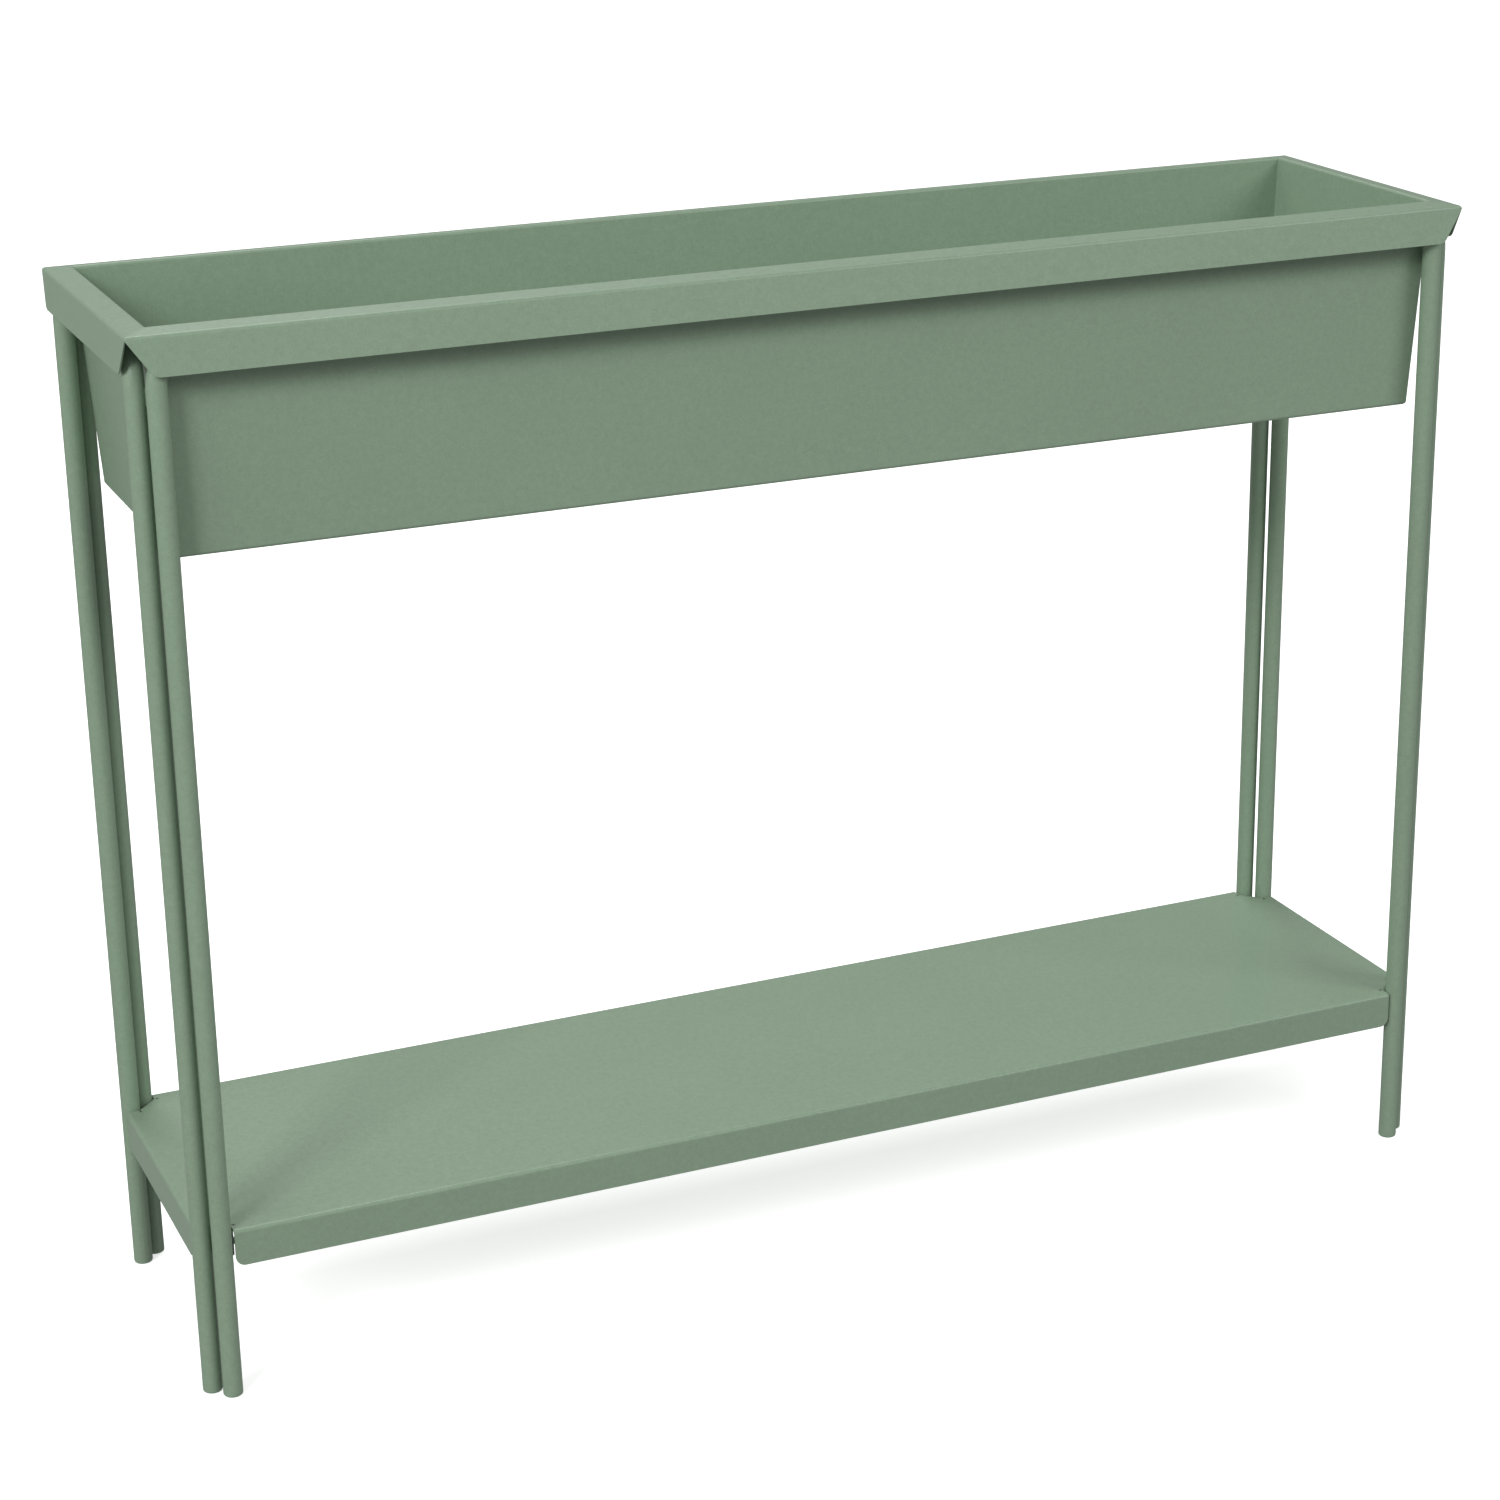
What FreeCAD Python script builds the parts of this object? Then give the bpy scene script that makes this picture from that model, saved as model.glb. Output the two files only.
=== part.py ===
# Raised planter on legs: a long folded-steel trough that rests by its lip on
# four bent-tube hoops, with a folded shelf low down between the legs.
# Frame: millimetres, +X along the trough, -Y the front, +Z up. The origin is on
# the floor, under the middle of the trough.
import FreeCAD, Part
import math
import os
import re
import Sketcher

doc = FreeCAD.newDocument("raised_planter")

# ---------------------------------------------------------------- driving sizes
SIZES = {
    # rim of the trough: the lip slopes out and down, the skirt leans outwards
    "rim_length": 1000.0,
    "rim_width": 248.0,
    "rim_height": 765.0,
    "lip_slope": 0.1444,
    "skirt_height": 26.4,
    "skirt_flare": 4.4,
    "end_skirt_flare": 2.4,
    "skirt_setback": 19.0,
    "skirt_corner_radius": 9.5,
    # walls and floor of the trough
    "trough_depth": 156.0,
    "floor_length": 947.0,
    "floor_width": 205.0,
    "trough_sheet": 1.2,
    "drain_diameter": 8.0,
    "drain_spacing": 280.0,
    # bent-tube hoops
    "tube_diameter": 14.0,
    "tube_wall": 1.2,
    "tube_bend_radius": 28.0,
    "corner_gap": 2.55,
    "rest_gap": 0.3,
    "rail_room": 2.44,
    "pad_width": 8.0,
    "pad_height": 14.0,
    # foot caps
    "cap_height": 3.0,
    "cap_edge_radius": 1.6,
    "cap_spigot": 10.0,
    "cap_fit": 0.1,
    # shelf
    "shelf_height": 128.5,
    "shelf_sheet": 1.5,
    "apron_height": 27.5,
    "apron_recess": 2.0,
    "apron_gap": 1.0,
    "apron_corner_radius": 7.0,
    "tab_height": 22.0,
    "tab_gap": 0.05,
    "screw_drop": 12.0,
    # shelf screws
    "screw_diameter": 5.0,
    "screw_hole": 5.4,
    "screw_length": 7.0,
    "screw_head_diameter": 9.5,
    "screw_head_height": 2.7,
}

sheet = doc.addObject("Spreadsheet::Sheet", "sizes")
for row, (alias, value) in enumerate(SIZES.items(), start=1):
    sheet.set(f"A{row}", alias)
    sheet.set(f"B{row}", str(value))
    sheet.setAlias(f"B{row}", alias)
doc.recompute()

ALIAS = re.compile(r"\b(" + "|".join(SIZES) + r")\b")

# ------------------------------------------------ places worked out from the sizes
# The rails lie in the fold between lip and skirt, one rest gap from both, and
# the lip is as wide as a rail needs.
LEAN = "(skirt_flare / skirt_height)"
END_LEAN = "(end_skirt_flare / skirt_height)"
ROOM = "(tube_diameter / 2 + rest_gap + trough_sheet)"


def rail_inset(lean):
    """How far a rail's centre stands in from the lip's edge, beside a skirt's lean."""
    steep = f"(sqrt(1 + {lean}^2) - {lean} * sqrt(1 + lip_slope^2))"
    return f"({ROOM} * {steep} / (1 - {lean} * lip_slope))"


RAIL_INSET = rail_inset(LEAN)
END_RAIL_INSET = rail_inset(END_LEAN)
LIP_WIDTH = f"({RAIL_INSET} + tube_diameter / 2 + rail_room + trough_sheet)"

# Levels.
TOP = "rim_height"
LIP_EDGE = f"(rim_height - lip_slope * {LIP_WIDTH})"
SKIRT_LOW = f"({LIP_EDGE} - skirt_height)"
TROUGH_LOW = "(rim_height - trough_depth)"
FLOOR_TOP = "(rim_height - trough_depth + trough_sheet)"
RAIL_HEIGHT = f"({LIP_EDGE} - {ROOM} * sqrt(1 + lip_slope^2) + {RAIL_INSET} * lip_slope)"

# Plan places of the tube centres: the end hoops stand on END_X and the long
# hoops on SIDE_Y; each hoop's legs stand one stagger in from the corner, so that
# the two tubes of a corner stand a corner gap apart.
STAGGER = "((tube_diameter + corner_gap) / sqrt(2))"
END_X = f"(rim_length / 2 - {END_RAIL_INSET})"
SIDE_Y = f"(rim_width / 2 - {RAIL_INSET})"
LONG_LEG_X = f"({END_X} - {STAGGER})"
END_LEG_Y = f"({SIDE_Y} - {STAGGER})"

# Outline of the shelf.
SHELF_X = f"({END_X} + tube_diameter / 2 - apron_recess)"
SHELF_Y = f"({SIDE_Y} + tube_diameter / 2 - apron_recess)"
APRON_X = f"({LONG_LEG_X} - tube_diameter / 2 - apron_gap)"
APRON_Y = f"({END_LEG_Y} - tube_diameter / 2 - apron_gap)"
# The corner edge runs at 45 degrees, tangent to both tubes: x + y = CORNER_SUM.
CORNER_SUM = f"({END_X} + {END_LEG_Y} - (tube_diameter / 2 + tab_gap) * sqrt(2))"


ALONG_X = FreeCAD.Vector(1, 0, 0)
ALONG_Y = FreeCAD.Vector(0, 1, 0)


def bound(text):
    """The expression with each size's alias pointing at the sheet."""
    return ALIAS.sub(r"sizes.\1", str(text))


def bind(obj, **expressions):
    """Ties properties of an object to expressions of the sheet's sizes."""
    for name, text in expressions.items():
        obj.setExpression(name.replace("__", "."), bound(text))


def place(obj, x=0, y=0, z=0, axis=(0, 0, 1), angle=0.0):
    """Puts an object at a bound position, turned about one axis."""
    turn = FreeCAD.Rotation(FreeCAD.Vector(*axis), angle)
    obj.Placement = FreeCAD.Placement(FreeCAD.Vector(0, 0, 0), turn)
    bind(obj, Placement__Base__x=x, Placement__Base__y=y, Placement__Base__z=z)
    return obj


def number(text):
    """The present value of an expression of the sheet's sizes."""
    return float(sheet.evalExpression(bound(text)))


# ------------------------------------------------------------- drawing helpers
def new_body(label):
    body = doc.addObject("PartDesign::Body", label)
    body.Label = label
    return body


def new_sketch(body, name, plane, lift=None):
    """A sketch on one of the body's own origin planes, lifted along its normal."""
    sketch = body.newObject("Sketcher::SketchObject", name)
    origin_plane = [f for f in body.Origin.OriginFeatures if f.Role == plane][0]
    sketch.AttachmentSupport = [(origin_plane, "")]
    sketch.MapMode = "FlatFace"
    if lift is not None:
        sketch.setExpression(".AttachmentOffset.Base.z", bound(lift))
    return sketch


def pin(sketch, geometry, end, point):
    """Holds one end of a line at a point given by two expressions."""
    for kind, text in zip(("DistanceX", "DistanceY"), point):
        index = sketch.addConstraint(Sketcher.Constraint(kind, -1, 1, geometry, end, number(text)))
        sketch.setExpression(f"Constraints[{index}]", bound(text))


def draw_outline(sketch, points):
    """A closed outline of straight lines through the points."""
    corners = [FreeCAD.Vector(number(x), number(y), 0) for x, y in points]
    count = len(corners)
    for i in range(count):
        sketch.addGeometry(Part.LineSegment(corners[i], corners[(i + 1) % count]))
    for i in range(count):
        sketch.addConstraint(Sketcher.Constraint("Coincident", i, 2, (i + 1) % count, 1))
    for i, point in enumerate(points):
        pin(sketch, i, 1, point)


def pad(body, sketch, name, length, midplane=False, reverse=False):
    feature = body.newObject("PartDesign::Pad", name)
    feature.Profile = sketch
    feature.Midplane = midplane
    feature.Reversed = reverse
    bind(feature, Length=length)
    doc.recompute()
    return feature


def round_low_corners(body, feature, name, radius, along):
    """Rounds the edges of a plate that run along one direction at its lowest level."""
    low = feature.Shape.BoundBox.ZMin
    picked = []
    for i, edge in enumerate(feature.Shape.Edges, start=1):
        tangent = edge.tangentAt(edge.FirstParameter)
        if abs(tangent.dot(along)) > 0.999 and abs(edge.CenterOfMass.z - low) < 0.01:
            picked.append(f"Edge{i}")
    fillet = body.newObject("PartDesign::Fillet", name)
    fillet.Base = (feature, picked)
    bind(fillet, Radius=radius)
    doc.recompute()
    return fillet


def tapered_block(name, low, high):
    """A block with level ends, each given as (height, length, width)."""
    block = doc.addObject("Part::Wedge", name)
    bind(block, Ymin=low[0], Ymax=high[0])
    for level, tag in ((low, ""), (high, "2")):
        bind(block, **{f"X{tag}min": f"-{level[1]} / 2", f"X{tag}max": f"{level[1]} / 2"})
        bind(block, **{f"Z{tag}min": f"-{level[2]} / 2", f"Z{tag}max": f"{level[2]} / 2"})
    return place(block, axis=(1, 0, 0), angle=90)


def cut(name, base, tool):
    result = doc.addObject("Part::Cut", name)
    result.Base = base
    result.Tool = tool
    return result


def fuse(name, *shapes):
    result = doc.addObject("Part::MultiFuse", name)
    result.Shapes = list(shapes)
    return result


def common(name, *shapes):
    result = doc.addObject("Part::MultiCommon", name)
    result.Shapes = list(shapes)
    return result


def cylinder(name, radius, height, **position):
    rod = doc.addObject("Part::Cylinder", name)
    bind(rod, Radius=radius, Height=height)
    return place(rod, **position)


subparts = []


def keep(obj, label):
    """Marks a finished piece, which is written under its label."""
    obj.Label = label
    subparts.append(obj)
    return obj


# ------------------------------------------------------------------------ hoops
def make_hoop(label, leg_place, **position):
    """An upside-down U of round tube in its own XZ plane, on two foot caps."""
    body = new_body(label)
    path = new_sketch(body, label + "_path", "XZ_Plane")
    bend = "tube_bend_radius"
    stations = [
        (f"-{leg_place}", "cap_height"),
        (f"-{leg_place}", f"{RAIL_HEIGHT} - {bend}"),
        (f"-{leg_place} + {bend}", RAIL_HEIGHT),
        (f"{leg_place} - {bend}", RAIL_HEIGHT),
        (leg_place, f"{RAIL_HEIGHT} - {bend}"),
        (leg_place, "cap_height"),
    ]
    spots = [FreeCAD.Vector(number(x), number(y), 0) for x, y in stations]
    radius = number(bend)
    slant = radius * (1 - 0.5 ** 0.5)
    lefthand = FreeCAD.Vector(spots[1].x + slant, spots[2].y - slant, 0)
    righthand = FreeCAD.Vector(spots[4].x - slant, spots[3].y - slant, 0)
    path.addGeometry(Part.LineSegment(spots[0], spots[1]))
    path.addGeometry(Part.Arc(spots[1], lefthand, spots[2]))
    path.addGeometry(Part.LineSegment(spots[2], spots[3]))
    path.addGeometry(Part.Arc(spots[3], righthand, spots[4]))
    path.addGeometry(Part.LineSegment(spots[4], spots[5]))
    for line, first in ((0, 0), (2, 2), (4, 4)):
        pin(path, line, 1, stations[first])
        pin(path, line, 2, stations[first + 1])
    for arc, before, after in ((1, 0, 2), (3, 2, 4)):
        # an arc drawn clockwise is stored the other way round
        path.addConstraint(Sketcher.Constraint("Coincident", arc, 2, before, 2))
        path.addConstraint(Sketcher.Constraint("Coincident", arc, 1, after, 1))
        index = path.addConstraint(Sketcher.Constraint("Radius", arc, radius))
        path.setExpression(f"Constraints[{index}]", bound(bend))
    section = new_sketch(body, label + "_section", "XY_Plane", lift="cap_height")
    for size in ("tube_diameter / 2", "tube_diameter / 2 - tube_wall"):
        centre = FreeCAD.Vector(spots[0].x, 0, 0)
        ring = section.addGeometry(Part.Circle(centre, FreeCAD.Vector(0, 0, 1), number(size)))
        pin(section, ring, 3, (stations[0][0], "0"))
        index = section.addConstraint(Sketcher.Constraint("Radius", ring, number(size)))
        section.setExpression(f"Constraints[{index}]", bound(size))
    doc.recompute()
    tube = body.newObject("PartDesign::AdditivePipe", label + "_tube")
    tube.Profile = section
    tube.Spine = (path, [f"Edge{i}" for i in range(1, 6)])
    doc.recompute()
    return place(body, **position)


hoops = {
    "front_hoop": make_hoop("front_hoop_tube", LONG_LEG_X, y=f"-{SIDE_Y}"),
    "back_hoop": make_hoop("back_hoop_tube", LONG_LEG_X, y=SIDE_Y),
    "left_hoop": make_hoop("left_hoop_tube", END_LEG_Y, x=f"-{END_X}", angle=90),
    "right_hoop": make_hoop("right_hoop_tube", END_LEG_Y, x=END_X, angle=90),
}

# The four corners, by name, with the signs of their X and Y.
CORNERS = {
    "front_left": (-1, -1),
    "front_right": (1, -1),
    "back_left": (-1, 1),
    "back_right": (1, 1),
}


# --------------------------------------------------------------------- foot caps
def make_cap(label, x, y):
    """A closed cap with a rounded edge, whose spigot fills the tube's bore."""
    body = new_body(label)
    profile = new_sketch(body, label + "_profile", "XZ_Plane")
    bore = "(tube_diameter / 2 - tube_wall - cap_fit)"
    draw_outline(profile, [
        ("0", "0"),
        ("tube_diameter / 2", "0"),
        ("tube_diameter / 2", "cap_height"),
        (bore, "cap_height"),
        (bore, "cap_height + cap_spigot"),
        ("0", "cap_height + cap_spigot"),
    ])
    turned = body.newObject("PartDesign::Revolution", label + "_turned")
    turned.Profile = profile
    turned.ReferenceAxis = (profile, ["V_Axis"])
    turned.Angle = 360.0
    doc.recompute()
    rims = []
    for i, edge in enumerate(turned.Shape.Edges, start=1):
        if isinstance(edge.Curve, Part.Circle) and edge.CenterOfMass.z < 0.01:
            rims.append(f"Edge{i}")
    fillet = body.newObject("PartDesign::Fillet", label + "_edge")
    fillet.Base = (turned, rims)
    bind(fillet, Radius="cap_edge_radius")
    place(body, x=x, y=y)
    return keep(body, label)


for corner, (sx, sy) in CORNERS.items():
    make_cap(f"{corner}_foot_long", f"{sx} * {LONG_LEG_X}", f"{sy} * {SIDE_Y}")
    make_cap(f"{corner}_foot_end", f"{sx} * {END_X}", f"{sy} * {END_LEG_Y}")


# ------------------------------------------- weld pads between the corner tubes
def make_pad(label, sx, sy):
    """A filler between the two tubes of a corner, just under their bends."""
    body = new_body(label + "_blank")
    pad_low = f"{RAIL_HEIGHT} - tube_bend_radius - pad_height"
    plan = new_sketch(body, label + "_plan", "XY_Plane", lift=pad_low)
    half_width = "(pad_width / 2)"
    half_reach = "((tube_diameter + corner_gap) / 2)"
    draw_outline(plan, [
        (f"-{half_reach}", f"-{half_width}"),
        (half_reach, f"-{half_width}"),
        (half_reach, half_width),
        (f"-{half_reach}", half_width),
    ])
    pad(body, plan, label + "_bar", "pad_height")
    middle_x = f"{sx} * ({END_X} - {STAGGER} / 2)"
    middle_y = f"{sy} * ({SIDE_Y} - {STAGGER} / 2)"
    place(body, x=middle_x, y=middle_y, angle=-45.0 * sx * sy)
    rod_room = dict(radius="tube_diameter / 2", height=RAIL_HEIGHT)
    long_leg = cylinder(label + "_long_leg", x=f"{sx} * {LONG_LEG_X}", y=f"{sy} * {SIDE_Y}", **rod_room)
    end_leg = cylinder(label + "_end_leg", x=f"{sx} * {END_X}", y=f"{sy} * {END_LEG_Y}", **rod_room)
    return keep(cut(label, cut(label + "_half", body, long_leg), end_leg), label)


for corner, (sx, sy) in CORNERS.items():
    make_pad(f"{corner}_weld_pad", sx, sy)


# ------------------------------------------------------------------------ trough
WALL_TOP_LENGTH = f"(rim_length - 2 * {LIP_WIDTH} + 2 * trough_sheet)"
WALL_TOP_WIDTH = f"(rim_width - 2 * {LIP_WIDTH} + 2 * trough_sheet)"
# outside of the walls at the level of the floor's upper face
SHARE = "(trough_sheet / trough_depth)"
WALL_LOW_LENGTH = f"(floor_length + {SHARE} * ({WALL_TOP_LENGTH} - floor_length))"
WALL_LOW_WIDTH = f"(floor_width + {SHARE} * ({WALL_TOP_WIDTH} - floor_width))"
INNER_TOP = (TOP, f"({WALL_TOP_LENGTH} - 2 * trough_sheet)", f"({WALL_TOP_WIDTH} - 2 * trough_sheet)")
INNER_LOW = (FLOOR_TOP, f"({WALL_LOW_LENGTH} - 2 * trough_sheet)", f"({WALL_LOW_WIDTH} - 2 * trough_sheet)")

outside = tapered_block("trough_outside", (TROUGH_LOW, "floor_length", "floor_width"),
                        (TOP, WALL_TOP_LENGTH, WALL_TOP_WIDTH))
inside = tapered_block("trough_inside", INNER_LOW, INNER_TOP)
walls = cut("trough_walls", outside, inside)
between_sides = tapered_block("between_sides", (FLOOR_TOP, WALL_LOW_LENGTH, INNER_LOW[2]),
                              (TOP, WALL_TOP_LENGTH, INNER_TOP[2]))
end_plates = cut("end_plates", between_sides, inside)


def lip_form(name, sink):
    """The sloped top of the rim, down to the lip's outer edge, sunk by an amount."""
    edge = (f"({LIP_EDGE} - {sink})", "rim_length", "rim_width")
    slope = tapered_block(name + "_slope", edge, (f"({TOP} - {sink})", INNER_TOP[1], INNER_TOP[2]))
    under = (f"({LIP_EDGE} - {sink} - trough_sheet)", "rim_length", "rim_width")
    return fuse(name, slope, tapered_block(name + "_edge", under, edge))


lip = cut("lip", cut("lip_plate", lip_form("lip_top", "0"), lip_form("lip_under", "trough_sheet")), inside)

SKIRT_LOW_LENGTH = "(rim_length + 2 * end_skirt_flare)"
SKIRT_LOW_WIDTH = "(rim_width + 2 * skirt_flare)"
SKIRT_FACE = f"(trough_sheet * sqrt(1 + {LEAN}^2))"
END_FACE = f"(trough_sheet * sqrt(1 + {END_LEAN}^2))"
skirt_outside = tapered_block("skirt_outside", (SKIRT_LOW, SKIRT_LOW_LENGTH, SKIRT_LOW_WIDTH),
                              (LIP_EDGE, "rim_length", "rim_width"))
skirt_inside = tapered_block(
    "skirt_inside",
    (SKIRT_LOW, f"({SKIRT_LOW_LENGTH} - 2 * {END_FACE})", f"({SKIRT_LOW_WIDTH} - 2 * {SKIRT_FACE})"),
    (LIP_EDGE, f"(rim_length - 2 * {END_FACE})", f"(rim_width - 2 * {SKIRT_FACE})"))
skirts = cut("skirts", skirt_outside, skirt_inside)


def skirt_outline(name, plane, span, across, along):
    """A skirt's outline: its ends slope back and its low corners are round."""
    body = new_body(name)
    outline = new_sketch(body, name + "_sketch", plane)
    draw_outline(outline, [
        (f"-{span} / 2", LIP_EDGE),
        (f"-{span} / 2 + skirt_setback", SKIRT_LOW),
        (f"{span} / 2 - skirt_setback", SKIRT_LOW),
        (f"{span} / 2", LIP_EDGE),
    ])
    block = pad(body, outline, name + "_block", f"{across} + 4 * skirt_flare", midplane=True)
    round_low_corners(body, block, name + "_corners", "skirt_corner_radius", along)
    return body


def end_region(name, side):
    """The part of the rim that belongs to one end, up to the corners' mitres."""
    body = new_body(name)
    plan = new_sketch(body, name + "_plan", "XY_Plane", lift=SKIRT_LOW)
    outer = "(skirt_flare * 2)"
    draw_outline(plan, [
        (f"{side} * (rim_length / 2 + {outer})", f"-rim_width / 2 - {outer}"),
        (f"{side} * (rim_length / 2 + {outer})", f"rim_width / 2 + {outer}"),
        (f"{side} * (rim_length / 2 - {LIP_WIDTH})", f"rim_width / 2 - {LIP_WIDTH}"),
        (f"{side} * (rim_length / 2 - {LIP_WIDTH})", f"-rim_width / 2 + {LIP_WIDTH}"),
    ])
    pad(body, plan, name + "_block", f"{TOP} - {SKIRT_LOW}")
    return body


long_outline = skirt_outline("long_skirt_outline", "XZ_Plane", "rim_length", "rim_width", ALONG_Y)
end_outline = skirt_outline("end_skirt_outline", "YZ_Plane", "rim_width", "rim_length", ALONG_X)
end_regions = {"left": end_region("left_region", -1), "right": end_region("right_region", 1)}

long_rim = fuse("long_rim", lip, common("long_skirts", skirts, long_outline))
end_rim = fuse("end_rim", lip, common("end_skirts", skirts, end_outline))
side_rims = cut("side_rims", long_rim, fuse("both_regions", *end_regions.values()))

drains = []
for i in (-1, 0, 1):
    drains.append(cylinder(f"drain_{i + 2}", "drain_diameter / 2", "4 * trough_sheet",
                           x=f"{i} * drain_spacing", z=f"{TROUGH_LOW} - trough_sheet"))

channel_blank = cut("channel_blank", fuse("channel_sheet", walls, side_rims), end_plates)
channel = keep(cut("channel", channel_blank, fuse("drain_holes", *drains)), "trough_channel")

for side, region in end_regions.items():
    rim = common(f"{side}_rim", end_rim, region)
    half = doc.addObject("Part::Box", f"{side}_half")
    bind(half, Length="rim_length", Width="rim_width", Height="rim_height")
    place(half, x="-rim_length" if side == "left" else "0", y="-rim_width / 2")
    plate = common(f"{side}_plate", end_plates, half)
    keep(cut(f"{side}_end", fuse(f"{side}_end_sheet", plate, rim), channel_blank), f"trough_end_{side}")


# ------------------------------------------------------------------------- shelf
def apron(name, plane, span, out, reverse):
    """A shelf side folded down, with round low corners and its face on `out`."""
    body = new_body(name)
    outline = new_sketch(body, name + "_sketch", plane, lift=out)
    low = "(shelf_height - apron_height)"
    draw_outline(outline, [
        (f"-{span}", "shelf_height"),
        (f"-{span}", low),
        (span, low),
        (span, "shelf_height"),
    ])
    block = pad(body, outline, name + "_block", "shelf_sheet", reverse=reverse)
    along = ALONG_Y if plane == "XZ_Plane" else ALONG_X
    round_low_corners(body, block, name + "_corners", "apron_corner_radius", along)
    return body


plate_body = new_body("shelf_plate")
plate_plan = new_sketch(plate_body, "shelf_plan", "XY_Plane", lift="shelf_height")
quarter = [
    (SHELF_X, APRON_Y),
    (f"({CORNER_SUM} - {APRON_Y})", APRON_Y),
    (APRON_X, f"({CORNER_SUM} - {APRON_X})"),
    (APRON_X, SHELF_Y),
]
plan_points = []
for sx, sy in ((1, 1), (-1, 1), (-1, -1), (1, -1)):
    ordered = quarter if sx * sy > 0 else quarter[::-1]
    plan_points += [(f"{sx} * {x}", f"{sy} * {y}") for x, y in ordered]
draw_outline(plate_plan, plan_points)
pad(plate_body, plate_plan, "shelf_plate_block", "shelf_sheet", reverse=True)

# An XZ plane faces -Y and a YZ plane faces +X.
aprons = [
    apron("front_apron", "XZ_Plane", APRON_X, SHELF_Y, True),
    apron("back_apron", "XZ_Plane", APRON_X, f"-{SHELF_Y}", False),
    apron("right_apron", "YZ_Plane", APRON_Y, SHELF_X, True),
    apron("left_apron", "YZ_Plane", APRON_Y, f"-{SHELF_X}", False),
]

# Each corner has a tab at 45 degrees, folded down against its two tubes, with a
# screw into each tube.
SCREW_Z = "(shelf_height - screw_drop)"
SEAT_REACH = "((tube_diameter / 2 + tab_gap + shelf_sheet) / sqrt(2))"
HEAD_REACH = "((tube_diameter / 2 + tab_gap + shelf_sheet + screw_head_height) / sqrt(2))"
TAB_HALF = f"(({CORNER_SUM} - {APRON_X} - {APRON_Y}) / sqrt(2))"
TAB_X = f"(({CORNER_SUM} - {APRON_Y} + {APRON_X}) / 2 - shelf_sheet / sqrt(2))"
TAB_Y = f"(({CORNER_SUM} - {APRON_X} + {APRON_Y}) / 2 - shelf_sheet / sqrt(2))"
tabs = []
screws = []
screw_ways = []
tube_ways = {name: [] for name in hoops}
for corner, (sx, sy) in CORNERS.items():
    tab = doc.addObject("Part::Box", f"{corner}_tab")
    bind(tab, Length="shelf_sheet", Width=f"2 * {TAB_HALF}", Height="tab_height")
    # the box starts at one end of the tab's inner face and is turned outwards
    place(tab, x=f"{sx} * {TAB_X} + {sy} * {TAB_HALF} / sqrt(2)",
          y=f"{sy} * {TAB_Y} - {sx} * {TAB_HALF} / sqrt(2)",
          z="shelf_height - tab_height", angle=math.degrees(math.atan2(sy, sx)))
    tabs.append(tab)
    long_name = "front_hoop" if sy < 0 else "back_hoop"
    end_name = "left_hoop" if sx < 0 else "right_hoop"
    for hoop, leg_x, leg_y in ((long_name, LONG_LEG_X, SIDE_Y), (end_name, END_X, END_LEG_Y)):
        # the head seats on the inner face of the tab, and the shank points outwards
        seat = dict(x=f"{sx} * ({leg_x} - {SEAT_REACH})", y=f"{sy} * ({leg_y} - {SEAT_REACH})",
                    z=SCREW_Z, axis=(-sy, sx, 0), angle=90)
        crown = dict(seat, x=f"{sx} * ({leg_x} - {HEAD_REACH})", y=f"{sy} * ({leg_y} - {HEAD_REACH})")
        name = f"{corner}_{hoop}"
        shank = cylinder(name + "_shank", "screw_diameter / 2", "screw_length", **seat)
        head = cylinder(name + "_head", "screw_head_diameter / 2", "screw_head_height", **crown)
        screws.append(fuse(name + "_screw", shank, head))
        screw_ways.append(cylinder(name + "_way", "screw_hole / 2", "shelf_sheet + tab_gap / 2", **seat))
        tube_ways[hoop].append(cylinder(name + "_thread", "screw_diameter / 2", "screw_length", **seat))

shelf_blank = fuse("shelf_blank", plate_body, *aprons, *tabs)
keep(cut("shelf_sheet_metal", shelf_blank, fuse("screw_ways", *screw_ways)), "shelf")

screw_group = doc.addObject("Part::Compound", "screw_group")
screw_group.Links = screws
keep(screw_group, "shelf_screws")

for name, tube in hoops.items():
    threads = fuse(name + "_threads", *tube_ways[name])
    keep(cut(name + "_drilled", tube, threads), name)

# ------------------------------------------------------------ check and write
doc.recompute()
for obj in doc.Objects:
    if "Invalid" in obj.State or "Error" in obj.State:
        raise RuntimeError(f"{obj.Label} could not be made: {obj.State}")
for piece in subparts:
    shape = piece.Shape
    if shape.isNull() or not shape.isValid() or not shape.Solids:
        raise RuntimeError(f"{piece.Label} is not a sound solid")

os.makedirs("parts", exist_ok=True)
for piece in subparts:
    piece.Shape.exportStep(f"parts/{piece.Label}.step")
    box = piece.Shape.BoundBox
    size = f"{box.XLength:.1f} x {box.YLength:.1f} x {box.ZLength:.1f}"
    print(f"{piece.Label}: {len(piece.Shape.Solids)} solid(s), {piece.Shape.Volume:.0f} mm3, {size}")
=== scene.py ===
"""Raised planter on legs: the looks of the trough, hoops, feet, shelf, welds and screws.

Everything is in metres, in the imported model's own frame: +X along the trough, -Y the
front, +Z up, with the floor at zero."""

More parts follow.
